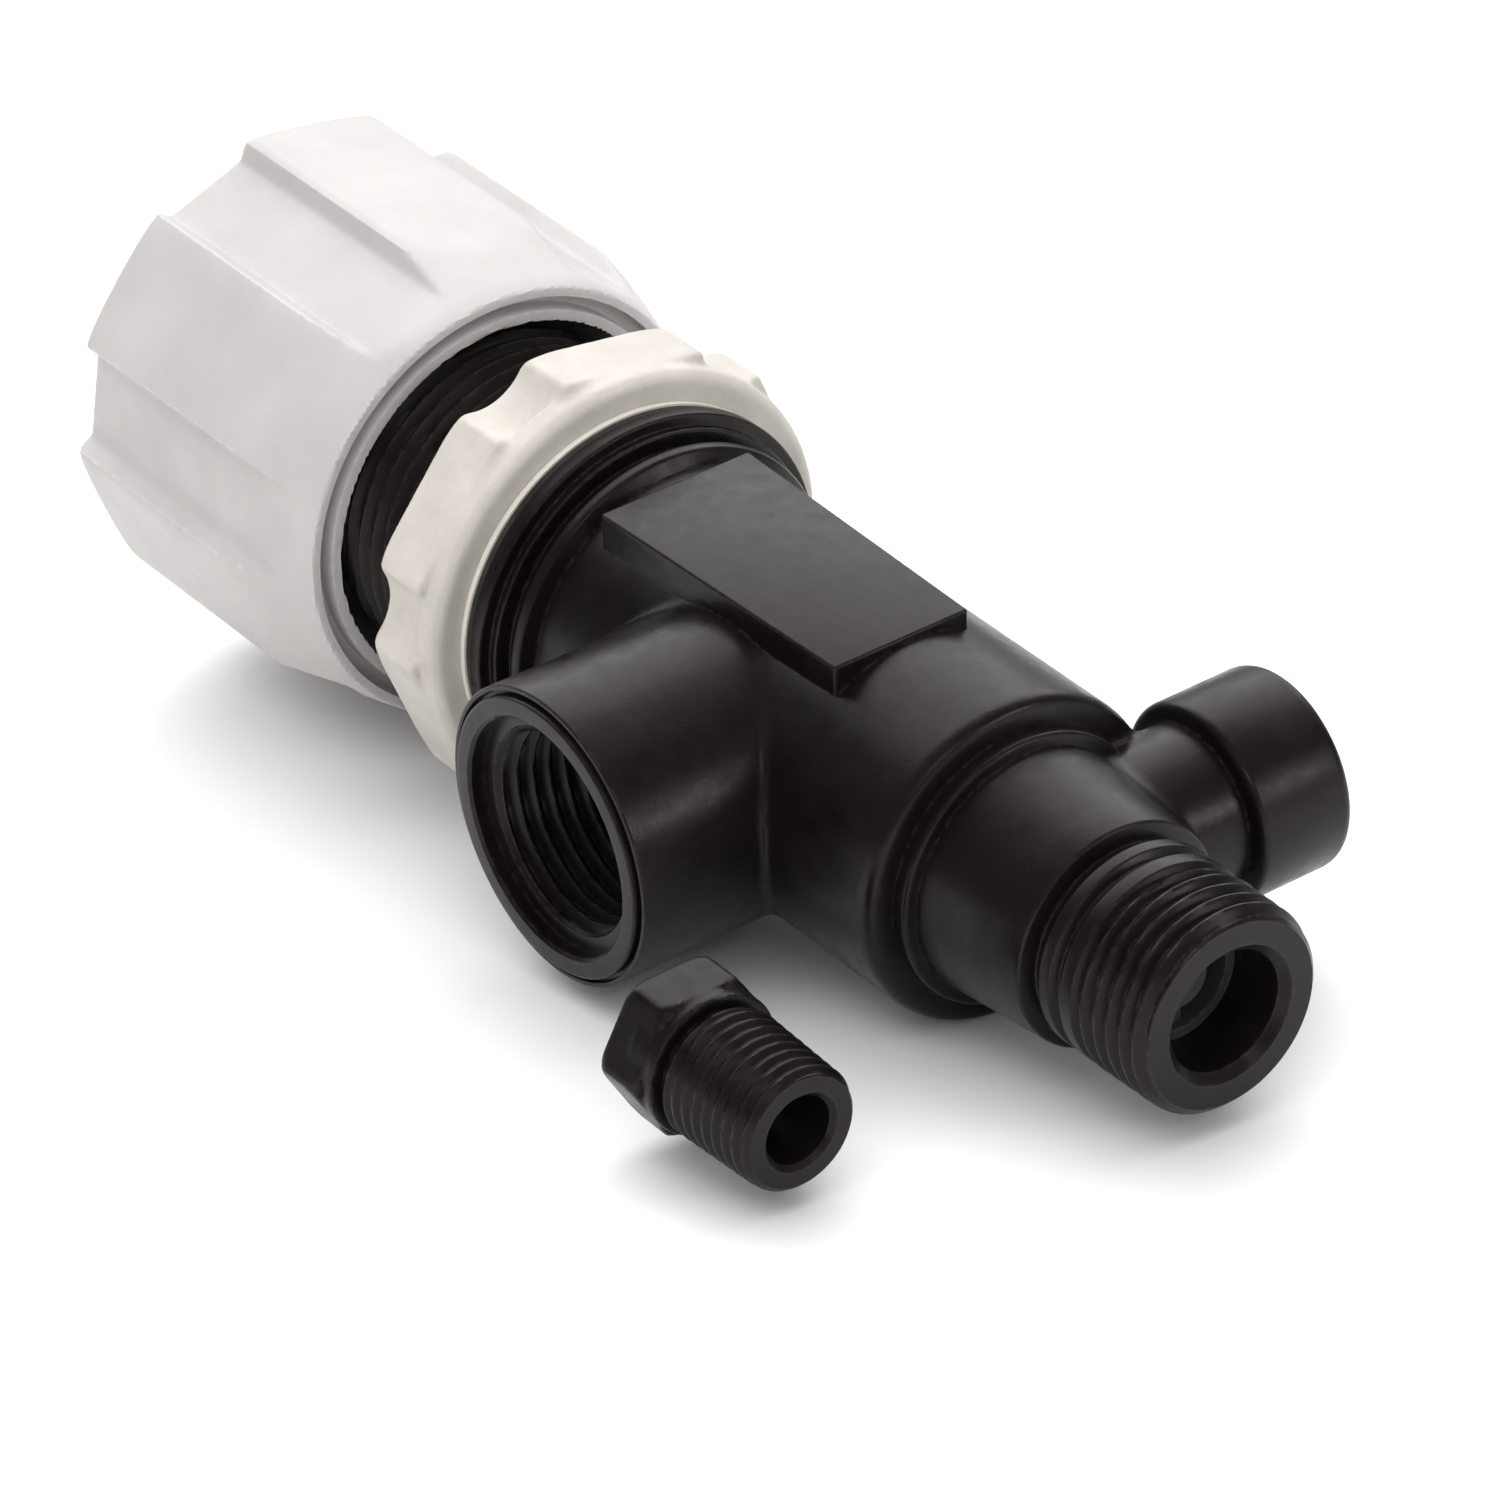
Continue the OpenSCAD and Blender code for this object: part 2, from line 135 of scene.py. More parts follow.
def rounded(points):
    """An outline from (u, v, corner radius) points, with each corner replaced by a smooth curve."""
    steps = 5
    most = 0.48  # of a side, so that the curves at its two ends never meet
    out = []
    for i, (u, v, radius) in enumerate(points):
        here = np.array((u, v), float)
        back = np.array(points[i - 1][:2], float) - here
        ahead = np.array(points[(i + 1) % len(points)][:2], float) - here
        if radius <= 0:
            out.append((u, v))
            continue
        back_len, ahead_len = np.linalg.norm(back), np.linalg.norm(ahead)
        back, ahead = back / back_len, ahead / ahead_len
        half = math.acos(max(-1, min(1, back @ ahead))) / 2
        run = min(radius / math.tan(half), most * back_len, most * ahead_len)
        for t in np.linspace(0, 1, steps + 1):
            w = (1 - t) ** 2, 2 * t * (1 - t), t**2
            p = w[0] * (here + back * run) + w[1] * here + w[2] * (here + ahead * run)
            out.append((p[0], p[1]))
    return out


def mesh_object(name, points, faces, smooth_angle=35):
    """A mesh object from points in millimetres, with outward normals and sharp edges by angle."""
    mesh = bpy.data.meshes.new(name)
    mesh.from_pydata((np.asarray(points, float) * MM).tolist(), [], faces)
    mesh.validate()
    obj = bpy.data.objects.new(name, mesh)
    bpy.context.scene.collection.objects.link(obj)
    if signed_volume(mesh) < 0:
        mesh.flip_normals()
    shade(obj, smooth_angle)
    return obj


def signed_volume(mesh):
    """Six times the volume a closed mesh encloses; negative if its faces point inwards."""
    mesh.calc_loop_triangles()
    corners = np.zeros(len(mesh.loop_triangles) * 3, np.int32)
    mesh.loop_triangles.foreach_get("vertices", corners)
    co = np.zeros(len(mesh.vertices) * 3)
    mesh.vertices.foreach_get("co", co)
    a, b, c = co.reshape(-1, 3)[corners.reshape(-1, 3)].transpose(1, 0, 2)
    return float(np.einsum("ij,ij->i", a, np.cross(b, c)).sum())


def shade(obj, angle):
    """Smooth shading, with edges sharper than an angle left sharp."""
    obj.data.shade_smooth()
    obj.data.set_sharp_from_angle(angle=math.radians(angle))


def wrap_faces(rows, columns):
    """Quads of a grid of rows that is closed round its columns."""
    faces = []
    for r in range(rows - 1):
        for c in range(columns):
            n = (c + 1) % columns
            faces.append((r * columns + c, r * columns + n, (r + 1) * columns + n, (r + 1) * columns + c))
    return faces


def pole_faces(rows, columns):
    """Triangles that close such a grid's first and last row at two points added after it."""
    first_pole, last_pole, last_row = rows * columns, rows * columns + 1, (rows - 1) * columns
    faces = []
    for c in range(columns):
        n = (c + 1) % columns
        faces.append((first_pole, n, c))
        faces.append((last_pole, last_row + c, last_row + n))
    return faces


def to_axis(radial, other, along, axis, origin):
    """Puts points given round an axis into the frame. The axis is one of "y", "x", "-x"."""
    x, y, z = {
        "y": (radial, along, other),
        "x": (along, radial, other),
        "-x": (-along, radial, other),
    }[axis]
    return np.stack([x, y, z], -1) + np.array(origin, float)


def lathe(name, outline, axis="y", origin=(0, 0, 0), segments=144):
    """A solid of revolution from (radius, distance along the axis) points.

    An outline that starts and ends on the axis is closed by poles. Any other is a ring's section.
    """
    outline = np.array(outline, float)
    capped = outline[0, 0] < 1e-6 and outline[-1, 0] < 1e-6
    body = outline[1:-1] if capped else outline
    turn = np.linspace(0, 2 * math.pi, segments, endpoint=False)
    radial = np.outer(body[:, 0], np.cos(turn)).ravel()
    other = np.outer(body[:, 0], np.sin(turn)).ravel()
    along = np.repeat(body[:, 1], segments)
    faces = wrap_faces(len(body), segments)
    if capped:
        radial = np.append(radial, [0, 0])
        other = np.append(other, [0, 0])
        along = np.append(along, [outline[0, 1], outline[-1, 1]])
        faces += pole_faces(len(body), segments)
    else:
        last = (len(body) - 1) * segments
        for c in range(segments):
            n = (c + 1) % segments
            faces.append((last + c, last + n, n, c))
    return mesh_object(name, to_axis(radial, other, along, axis, origin), faces)


def screw(name, crest_r, depth, pitch, start, end, lead_in, segments, rows_per_turn=12,
          axis="y", origin=(0, 0, 0), taper=0.0):
    """A solid rod with a helical thread along an axis from start to end.

    taper is how much the radius drops for each millimetre. lead_in is how far the crest is
    chamfered at the start and at the end. The thread is right-handed along "y" and "x". Along "-x",
    which to_axis mirrors, it is left-handed.
    """
    crest_share, flank_share = 0.12, 0.76  # of half a turn: the flat crest, and the slope below it
    rows = max(3, int(round((end - start) / pitch * rows_per_turn)) + 1)
    along = np.linspace(start, end, rows)[:, None]
    turn = np.linspace(0, 2 * math.pi, segments, endpoint=False)[None, :]
    hand = -1 if axis == "y" else 1
    phase = (along / pitch - hand * turn / (2 * math.pi)) % 1.0
    valley = 1 - np.clip((np.abs(phase - 0.5) * 2 - crest_share) / flank_share, 0, 1)
    radius = crest_r - depth * valley - taper * (along - start)
    for edge, limit in ((along - start, lead_in[0]), (end - along, lead_in[1])):
        if limit > 0:
            radius = np.minimum(radius, crest_r - taper * (along - start) - (limit - edge))
    radial, other = radius * np.cos(turn), radius * np.sin(turn)
    spread = np.broadcast_to(along, radius.shape)
    points = to_axis(
        np.append(radial.ravel(), [0, 0]),
        np.append(other.ravel(), [0, 0]),
        np.append(spread.ravel(), [start, end]),
        axis,
        origin,
    )
    return mesh_object(name, points, wrap_faces(rows, segments) + pole_faces(rows, segments))


def combine(target, operation, *tools):
    """Joins solids to the target or cuts them from it, and removes them."""
    for tool in tools:
        modifier = target.modifiers.new("combine", "BOOLEAN")
        modifier.operation = operation
        modifier.solver = "MANIFOLD"
        modifier.object = tool
        depsgraph = bpy.context.evaluated_depsgraph_get()
        made = bpy.data.meshes.new_from_object(target.evaluated_get(depsgraph))
        target.modifiers.clear()
        old = target.data
        target.data = made
        made.name = target.name
        bpy.data.meshes.remove(old)
        bpy.data.objects.remove(tool)
    return target


# ---------------------------------------------------------------- rounded solids from distances


def outline_distance(points, u, v):
    """Signed distance to a closed outline, negative inside."""
    points = np.asarray(points, float)
    best = np.full(u.shape, 1e9)
    inside = np.zeros(u.shape, bool)
    for (au, av), (bu, bv) in zip(points, np.roll(points, -1, 0)):
        eu, ev = bu - au, bv - av
        length = eu * eu + ev * ev
        if length < 1e-12:
            continue
        t = np.clip(((u - au) * eu + (v - av) * ev) / length, 0, 1)
        best = np.minimum(best, (u - au - t * eu) ** 2 + (v - av - t * ev) ** 2)
        crosses = (av > v) != (bv > v)
        if ev:
            inside ^= crosses & (u < eu * (v - av) / ev + au)
    return np.where(inside, -1, 1) * np.sqrt(best)


def joined(a, b, radius):
    """Union of two distances, with a fillet of that radius where they meet."""
    near = np.hypot(np.maximum(radius - a, 0), np.maximum(radius - b, 0))
    return np.maximum(radius, np.minimum(a, b)) - near


def common(a, b, radius):
    """Intersection of two distances, with edges rounded to that radius."""
    return -joined(-a, -b, radius)


def without(a, b, radius):
    """a with b cut away, with edges rounded to that radius."""
    return common(a, -b, radius)


def sixfold(x, z, angle):
    """(distance towards, distance across) the nearest of six directions that start at an angle."""
    rho, turn = np.hypot(x, z), np.degrees(np.arctan2(z, x))
    turn = np.radians((turn - angle + 30) % 60 - 30)
    return rho * np.cos(turn), rho * np.sin(turn)


def hexagon_distance(towards, across, flat_r):
    """Signed distance to a hexagon with corners in the six directions and flats flat_r from its axis."""
    return towards * math.cos(math.radians(30)) + np.abs(across) * 0.5 - flat_r


def sampled(distance, low, high, cell):
    """A distance function's values on a grid between two corners."""
    shape = np.ceil((high - low) / cell).astype(int) + 1
    grids = [low[i] + cell * np.arange(shape[i]) for i in range(3)]
    field = np.empty(shape)
    across, up = np.meshgrid(grids[1], grids[2], indexing="ij")
    for i, x in enumerate(grids[0]):
        flat = np.stack([np.full(across.size, x), across.ravel(), up.ravel()], -1)
        field[i] = distance(flat).reshape(across.shape)
    return field


def crossed_cells(inside):
    """The cells that have corners on both sides, and a grid that holds each one's number."""
    shape = inside.shape
    corners = [inside[a : shape[0] - 1 + a, b : shape[1] - 1 + b, c : shape[2] - 1 + c]
               for a, b, c in itertools.product((0, 1), repeat=3)]
    total = sum(c.astype(np.int8) for c in corners)
    crossed = (total > 0) & (total < 8)
    cells = np.argwhere(crossed)
    number = np.full(crossed.shape, -1)
    number[crossed] = np.arange(len(cells))
    return cells, number


def cell_points(field, cells, low, cell):
    """For each cell, the mean of the points where the surface cuts its edges."""
    sums, hits = np.zeros((len(cells), 3)), np.zeros(len(cells))
    for axis in range(3):
        unit = np.eye(3, dtype=int)[axis]
        others = [np.eye(3, dtype=int)[o] for o in range(3) if o != axis]
        for m, n in itertools.product((0, 1), repeat=2):
            a = cells + m * others[0] + n * others[1]
            b = a + unit
            da, db = field[tuple(a.T)], field[tuple(b.T)]
            hit = (da < 0) != (db < 0)
            t = da[hit] / (da[hit] - db[hit])
            sums[hit] += a[hit] + t[:, None] * unit
            hits[hit] += 1
    return low + cell * sums / hits[:, None]


def cell_faces(inside, number):
    """A quad of four cells round each grid edge that the surface cuts, facing outwards."""
    faces = []
    for axis in range(3):
        b, c = (axis + 1) % 3, (axis + 2) % 3
        unit, eb, ec = (np.eye(3, dtype=int)[i] for i in (axis, b, c))
        ahead = np.roll(inside, -1, axis)
        change = inside != ahead
        cut = [slice(1, -1)] * 3
        cut[axis] = slice(0, -1)
        at = np.argwhere(change[tuple(cut)]) + np.array([0 if i == axis else 1 for i in range(3)])
        ring = np.stack([number[tuple((at - eb - ec).T)], number[tuple((at - ec).T)],
                         number[tuple(at.T)], number[tuple((at - eb).T)]], -1)
        outward = inside[tuple(at.T)]
        faces.append(np.where(outward[:, None], ring, ring[:, ::-1]))
    return np.concatenate(faces).tolist()


def settle(points, distance, cell):
    """Moves points onto the zero surface, by no more than half a cell in all."""
    rounds, least = 4, 0.2  # the squared slope is small at creases, and is taken as no less than this
    start = points.copy()
    step = cell * 0.05
    for _ in range(rounds):
        here = distance(points)
        slope = np.stack([distance(points + step * e) - distance(points - step * e)
                          for e in np.eye(3)], -1) / (2 * step)
        size = np.maximum((slope**2).sum(1), least)
        points = points - slope * (here / size)[:, None]
        points = start + np.clip(points - start, -cell / 2, cell / 2)
    return points


def surface(name, distance, low, high, cell):
    """The closed mesh where a distance function is zero: one vertex in each cell it crosses."""
    low, high = np.array(low, float), np.array(high, float)
    field = sampled(distance, low, high, cell)
    inside = field < 0
    cells, number = crossed_cells(inside)
    points = settle(cell_points(field, cells, low, cell), distance, cell)
    return mesh_object(name, points, cell_faces(inside, number), smooth_angle=50)


# ---------------------------------------------------------------- the valve body


def neck_r(y):
    """Radius of the tapered neck between the shoulder and the outlet."""
    return NECK_R - NECK_SLOPE * (y - NECK_START)


def body_core(p):
    """Barrel, neck, inlet boss and branch root, with moulded fillets between them."""
    x, y, z = p.T
    start, inlet_end, branch_end = 1, 25.5, 18.8  # each inside the turned part that takes over there
    inlet_fillet, branch_fillet = 0.7, 1.0
    barrel = outline_distance(rounded([
        (-FAR, start, 0), (BARREL_R, start, 0), (BARREL_R, SHOULDER_Y, 1.4),
        (neck_r(SHOULDER_Y), SHOULDER_Y, 0), (neck_r(NECK_END), NECK_END, 0), (-FAR, NECK_END, 0),
    ]), np.hypot(x, z), y)
    inlet = np.maximum(common(np.hypot(y - INLET_Y, z) - INLET_BOSS_R, x - inlet_end, 0.4), -x)
    branch = np.maximum(np.hypot(y - BRANCH_Y, z) - BRANCH_ROOT_R, np.maximum(x, -x - branch_end))
    return joined(joined(barrel, inlet, inlet_fillet), branch, branch_fillet)


def flange(name):
    """The flange, the step and the groove in front of it, and the small ring, as one turned shape."""
    thread_root_r, step_r, groove_r, ring_r = 16.4, 18.8, 17.2, 18.3
    start, flange_end, step_end, groove_end, ring_end, end = -1, 1.8, 2.8, 4.1, 5.6, 6.6
    return lathe(name, [(0, start), (thread_root_r, start)] + rounded([
        (thread_root_r + 0.5, 0, 0), (FLANGE_R, 0, 0.3), (FLANGE_R, flange_end, 0.35),
        (step_r, flange_end, 0.15), (step_r + 0.1, step_end, 0.3), (groove_r, step_end, 0.15),
        (groove_r, groove_end, 0.15), (ring_r, groove_end + 0.2, 0.5), (ring_r, ring_end, 0.6),
        (BARREL_R - 0.1, end - 0.2, 0.4), (BARREL_R - 1.3, end, 0),
    ]) + [(0, end)])


def outlet_spigot(name):
    """The end of the neck, a relief groove, two plain collars and the male taper thread."""
    root_r, collar_r = 9.7, OUTLET_R - 0.05
    start, lip, end = 70.5, 73.6, 82
    thread_start = 80.6
    skin = 0.03  # how far the turned neck stands outside the moulded one, so that they never coincide
    profile = [(neck_r(start) + skin, start, 0), (neck_r(lip) + skin, lip + 0.2, 0.45),
               (root_r, lip + 0.5, 0.2)]
    for foot, rise, fall, heel in ((75.2, 75.5, 76.9, 77.4), (78.1, 78.5, 80.1, 80.7)):
        profile += [(root_r, foot, 0.2), (collar_r, rise, 0.3), (collar_r, fall, 0.3), (root_r, heel, 0.2)]
    collars = lathe(name + "_collars",
                    [(0, start)] + rounded(profile + [(root_r, end, 0)]) + [(0, end)])
    thread = screw(name, OUTLET_R, HALF_INCH_DEPTH, HALF_INCH_PITCH, thread_start, OUTLET_Y,
                   taper=PIPE_TAPER, lead_in=(0.9, 1.0), segments=144, rows_per_turn=14)
    return combine(thread, "UNION", collars)


def main_bore(name):
    """Everything that is cut out of the body along its main axis."""
    start, end = REAR_Y - OVERSHOOT, OUTLET_Y + OVERSHOOT
    chamfer = OUTLET_LIP_R - OUTLET_BORE_R
    return lathe(name, [
        (0, start), (BONNET_SEAT_R, start), (BONNET_SEAT_R, BONNET_SEAT_Y), (CHAMBER_R, BONNET_SEAT_Y),
        (CHAMBER_R, CHAMBER_END), (SEAT_POCKET_R, CHAMBER_END), (SEAT_POCKET_R, SEAT_POCKET_END),
        (THROAT_R, SEAT_POCKET_END), (THROAT_R, THROAT_END), (OUTLET_BORE_R, THROAT_END),
        (OUTLET_BORE_R, OUTLET_Y - chamfer), (OUTLET_LIP_R, OUTLET_Y), (OUTLET_LIP_R, end), (0, end),
    ])


def port_cut(name, axis, origin, mouth, crest_r, length, depth, pitch, behind, recess):
    """A tapped port: a female thread in a recessed mouth, and the passages behind it.

    recess is the radius and the depth of the plain counterbore in front of the thread.
    """
    thread = screw(name, crest_r + depth, depth, pitch, mouth - length, mouth + OVERSHOOT, axis=axis,
                   origin=origin, lead_in=(0.9, 0), taper=-PIPE_TAPER, segments=96, rows_per_turn=10)
    recess_r, recess_depth = recess
    floor = mouth - recess_depth
    cone_start, cone_end_r = floor - 1.2, crest_r + 0.9
    rim_r, rim_start, rim_end = recess_r + 0.5, mouth - 0.3, mouth + 0.2
    end = mouth + OVERSHOOT + 0.1
    mouth_cone = lathe(name + "_mouth", [
        (0, cone_start), (crest_r, cone_start), (cone_end_r, floor), (recess_r, floor),
        (recess_r, rim_start), (rim_r, rim_end), (rim_r, end), (0, end),
    ], axis, origin)
    passage = lathe(name + "_passage", behind, axis, origin)
    return combine(thread, "UNION", mouth_cone, passage)


def block(name, corners, edge_mm=0.0):
    """A solid with six flat faces, from its eight corners in the order x, then y, then z.

    edge_mm is how wide its edges are rounded.
    """
    faces = [(0, 1, 3, 2), (4, 6, 7, 5), (0, 4, 5, 1), (2, 3, 7, 6), (0, 2, 6, 4), (1, 5, 7, 3)]
    solid = mesh_object(name, corners, faces)
    if edge_mm > 0:
        bevel = solid.modifiers.new("edges", "BEVEL")
        bevel.width, bevel.segments, bevel.limit_method = edge_mm * MM, 3, "NONE"
    return solid


def anti_turn_key(name, side):
    """One of the two keys in the chamber that stop the plunger turning."""
    half_w, start, end, inner, outer = 1.2, -3.0, 14.0, 11.6, 13.6
    return block(name, [(x, y, side * z) for x, y, z in
                        itertools.product((-half_w, half_w), (start, end), (inner, outer))])


def label_pad(name):
    """The raised pad on top of the barrel, narrower towards the outlet."""
    ends = ((PAD_START, PAD_HALF_W), (PAD_END, PAD_FRONT_HALF_W))
    corners = [(PAD_CENTRE_X + side * half, y, z) for side, (y, half), z in
               itertools.product((-1, 1), ends, (PAD_FOOT, PAD_TOP))]
    return block(name, corners, edge_mm=0.3)


def inlet_mouth(name):
    """The end of the inlet's boss: a raised lip with a fine step round it."""
    start, step_x, step_foot = 24.6, INLET_X - 0.5, INLET_X - 1.2
    lip_r, inner_r = 14.1, 9
    return lathe(name, [(0, start)] + rounded([
        (INLET_BOSS_R + 0.02, start, 0), (INLET_BOSS_R + 0.1, step_x, 0.4), (lip_r + 0.45, step_x, 0.1),
        (lip_r + 0.35, step_foot, 0), (lip_r, step_foot, 0), (lip_r, INLET_X, 0.35),
        (inner_r, INLET_X, 0),
    ]) + [(0, INLET_X)], "x", INLET_AT)


def shoulder_ring(name):
    """The low ring where the neck leaves the barrel's shoulder."""
    start, ring_r, ring_end, end = SHOULDER_Y - 2, 14.0, 60.2, 60.35
    return lathe(name, [(0, start)] + rounded([
        (ring_r - 0.6, start, 0), (ring_r, SHOULDER_Y - 0.5, 0), (ring_r, ring_end, 0.5), (12.3, end, 0),
    ]) + [(0, end)])


def branch_head(name):
    """The round head on the branch's root."""
    start, step_x, head_r, inner_r = 17, 18.4, 10.2, 4
    return lathe(name, [(0, start)] + rounded([
        (8.1, start, 0), (8.3, step_x, 0.2), (head_r, step_x + 0.1, 0.9), (head_r, BRANCH_X, 1.1),
        (inner_r, BRANCH_X, 0),
    ]) + [(0, BRANCH_X)], "-x", BRANCH_AT)


def inlet_cut(name):
    """The inlet's thread, the ledge for the strainer and the passage into the chamber."""
    start, passage_r, ledge_x, ledge_r, end = 1, 8, 15.6, 9, 18.4
    behind = [(0, start), (passage_r, start), (passage_r, ledge_x), (ledge_r, ledge_x), (ledge_r, end),
              (0, end)]
    return port_cut(name, "x", INLET_AT, INLET_X, INLET_R, INLET_LEN, HALF_INCH_DEPTH,
                    HALF_INCH_PITCH, behind, recess=(12.0, 1.7))


def branch_cut(name):
    """The branch's thread and the passage into the throat."""
    start, passage_r, end = 1, 4, 16.5
    behind = [(0, start), (passage_r, start), (passage_r, end), (0, end)]
    return port_cut(name, "-x", BRANCH_AT, BRANCH_X, BRANCH_R, BRANCH_LEN, QUARTER_INCH_DEPTH,
                    QUARTER_INCH_PITCH, behind, recess=(7.3, 0.9))


def build_body():
    """The one-piece moulded body with its real threads."""
    low, high, cell = (-20, -0.5, -18.5), (30, 75, 19.5), 0.55
    body = surface("valve_body_moulding", body_core, low, high, cell)
    panel_thread = screw("panel_thread", PANEL_THREAD_R, PANEL_THREAD_DEPTH, PANEL_PITCH, REAR_Y, -0.4,
                         lead_in=(1.0, 0), segments=128, rows_per_turn=8)
    combine(body, "UNION", label_pad("label_pad"), flange("flange"), panel_thread,
            outlet_spigot("outlet_thread"), inlet_mouth("inlet_mouth"), branch_head("branch_head"),
            shoulder_ring("shoulder_ring"))
    combine(body, "DIFFERENCE", main_bore("main_bore"), inlet_cut("inlet_cut"), branch_cut("branch_cut"))
    combine(body, "UNION", anti_turn_key("key_top", 1), anti_turn_key("key_bottom", -1))
    shade(body, 32)
    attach(body, "valve")
    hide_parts("valve_body")
    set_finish(body, "body_plastic")
    return body


# ---------------------------------------------------------------- knob, nut, adapter


KNOB_FLAT_ANGLE = 39.5
KNOB_R, KNOB_FLAT_R = 26.1, 25.1
KNOB_FLUTE_END = -33
KNOB_FLUTE_FLOOR_R, KNOB_FLUTE_HALF_W, KNOB_FLUTE_SLOPE = 23.4, 4.6, 0.65
KNOB_RIM_R, KNOB_RIM_EDGE_R, KNOB_RIM_EDGE = 22.9, 23.5, 1.4
KNOB_CAVITY_R, KNOB_CAVITY_START = 19.4, -55
KNOB_ROOT_Y = -58  # inside the closed end's wall, where the hub, the ribs and the screw's hole start
KNOB_HUB_R, KNOB_HUB_END = 8.2, -36
KNOB_RIB_HALF_T, KNOB_RIB_END = 0.8, -46
KNOB_SQUARE_HALF_W, KNOB_SQUARE_START = 3.55, -53
KNOB_SCREW_HOLE_R, KNOB_SCREW_HOLE_END = 2.3, -52
KNOB_RECESS_R, KNOB_RECESS_END = 9.6, -56


def knob_distance(p):
    """The hand knob: six flats, six flutes, a cone at its open end, and what is inside it."""
    x, y, z = p.T
    rho = np.hypot(x, z)
    low, high = KNOB_LOW[1], KNOB_HIGH[1]
    outer = outline_distance(rounded([
        (-FAR, low, 0), (KNOB_R, low, 1.8), (KNOB_R, KNOB_FLUTE_END, 0.8),
        (KNOB_RIM_EDGE_R, high - KNOB_RIM_EDGE, 0.5), (KNOB_RIM_R, high, 0.35), (-FAR, high, 0),
    ]), rho, y)
    towards, across = sixfold(x, z, KNOB_FLAT_ANGLE - 30)
    flats = hexagon_distance(towards, across, KNOB_FLAT_R)
    floor = KNOB_FLUTE_FLOOR_R - towards
    side = np.abs(across) - KNOB_FLUTE_HALF_W
    wall = (side + KNOB_FLUTE_SLOPE * floor) / math.hypot(1, KNOB_FLUTE_SLOPE)
    shell = without(common(outer, flats, 0.5), common(floor, wall, 0.25), 0.3)

    beyond = high + 2
    cavity = outline_distance(rounded([
        (-FAR, KNOB_CAVITY_START, 0), (KNOB_CAVITY_R, KNOB_CAVITY_START, 1.2),
        (KNOB_CAVITY_R, beyond, 0), (-FAR, beyond, 0),
    ]), rho, y)
    shell = without(shell, cavity, 0.2)
    return knob_inside(x, y, z, shell)


def knob_inside(x, y, z, shell):
    """Adds the hub and its ribs to the knob's shell, and cuts the square, the screw's hole and recess."""
    rho = np.hypot(x, z)
    behind = KNOB_ROOT_Y - y
    rib_start, rib_reach = 5, 22
    hub = np.maximum(common(rho - KNOB_HUB_R, y - KNOB_HUB_END, 0.4), behind)
    towards, across = sixfold(x, z, KNOB_FLAT_ANGLE)
    rib = np.maximum(np.maximum(np.abs(across) - KNOB_RIB_HALF_T, towards - rib_reach),
                     np.maximum(y - KNOB_RIB_END, behind))
    shell = joined(joined(shell, hub, 0.5), np.maximum(rib, rib_start - towards), 0.3)
    square = np.maximum(np.maximum(np.abs(x), np.abs(z)) - KNOB_SQUARE_HALF_W, KNOB_SQUARE_START - y)
    screw_hole = np.maximum(rho - KNOB_SCREW_HOLE_R, np.maximum(y - KNOB_SCREW_HOLE_END, behind))
    recess = np.maximum(rho - KNOB_RECESS_R, y - KNOB_RECESS_END)
    return np.maximum(np.maximum(shell, -square), np.maximum(-screw_hole, -recess))


def rim_groove(name):
    """The ring that is cut out of the knob's rim, a little narrower at its bottom."""
    inner_r, outer_r, draft, depth = 20.7, 21.9, 0.2, 2.0
    mouth, bottom = KNOB_HIGH[1] + OVERSHOOT, KNOB_HIGH[1] - depth
    return lathe(name, [(inner_r - draft, mouth), (inner_r, bottom), (outer_r, bottom),
                        (outer_r + draft, mouth)])


def build_knob():
    """The hand knob, moulded in one piece."""
    knob = surface("control_knob_moulding", knob_distance, KNOB_LOW - MARGIN, KNOB_HIGH + MARGIN, 0.5)
    combine(knob, "DIFFERENCE", rim_groove("rim_groove"))
    shade(knob, 40)
    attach(knob, "knob")
    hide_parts("control_knob")
    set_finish(knob, "knob_plastic")
    return knob


NUT_FLAT_ANGLE, NUT_FLAT_R, NUT_CORNER_R = 39, 22.8, 24.6
NUT_NOTCH_AT, NUT_NOTCH_R = 27.6, 5.6
NUT_COLLAR_R, NUT_COLLAR_LEN = 23.0, 2.2
NUT_BORE_R = 17.6


def nut_distance(p):
    """The lock nut: a round collar, and a hex with a notch at each corner."""
    x, y, z = p.T
    rho = np.hypot(x, z)
    low, high = NUT_LOW[1], NUT_HIGH[1]
    hexagon_end = high - NUT_COLLAR_LEN
    collar_start = hexagon_end - 0.8
    chamfer = 1.2
    towards, across = sixfold(x, z, NUT_FLAT_ANGLE - 30)
    flats = hexagon_distance(towards, across, NUT_FLAT_R)
    notch = np.hypot(towards - NUT_NOTCH_AT, across) - NUT_NOTCH_R
    outline = outline_distance(rounded([
        (-FAR, low, 0), (NUT_CORNER_R - chamfer, low, 0.8), (NUT_CORNER_R, low + chamfer, 0.6),
        (NUT_CORNER_R, hexagon_end, 0.8), (-FAR, hexagon_end, 0),
    ]), rho, y)
    hexagon = without(common(outline, flats, 0.45), notch, 0.5)
    collar = outline_distance(rounded([
        (-FAR, collar_start, 0), (NUT_COLLAR_R, collar_start, 0.4), (NUT_COLLAR_R, high - 0.7, 0.7),
        (NUT_COLLAR_R - 0.8, high, 0.5), (-FAR, high, 0),
    ]), rho, y)
    back_r, front_r = NUT_BORE_R + 0.9, NUT_BORE_R + 0.6
    bore = outline_distance([
        (-FAR, low - 2), (back_r, low - 2), (back_r, low - 0.1), (NUT_BORE_R, low + 0.8),
        (NUT_BORE_R, high - 0.6), (front_r, high + 0.1), (front_r, high + 2), (-FAR, high + 2),
    ], rho, y)
    return without(joined(hexagon, collar, 0.35), bore, 0.2)


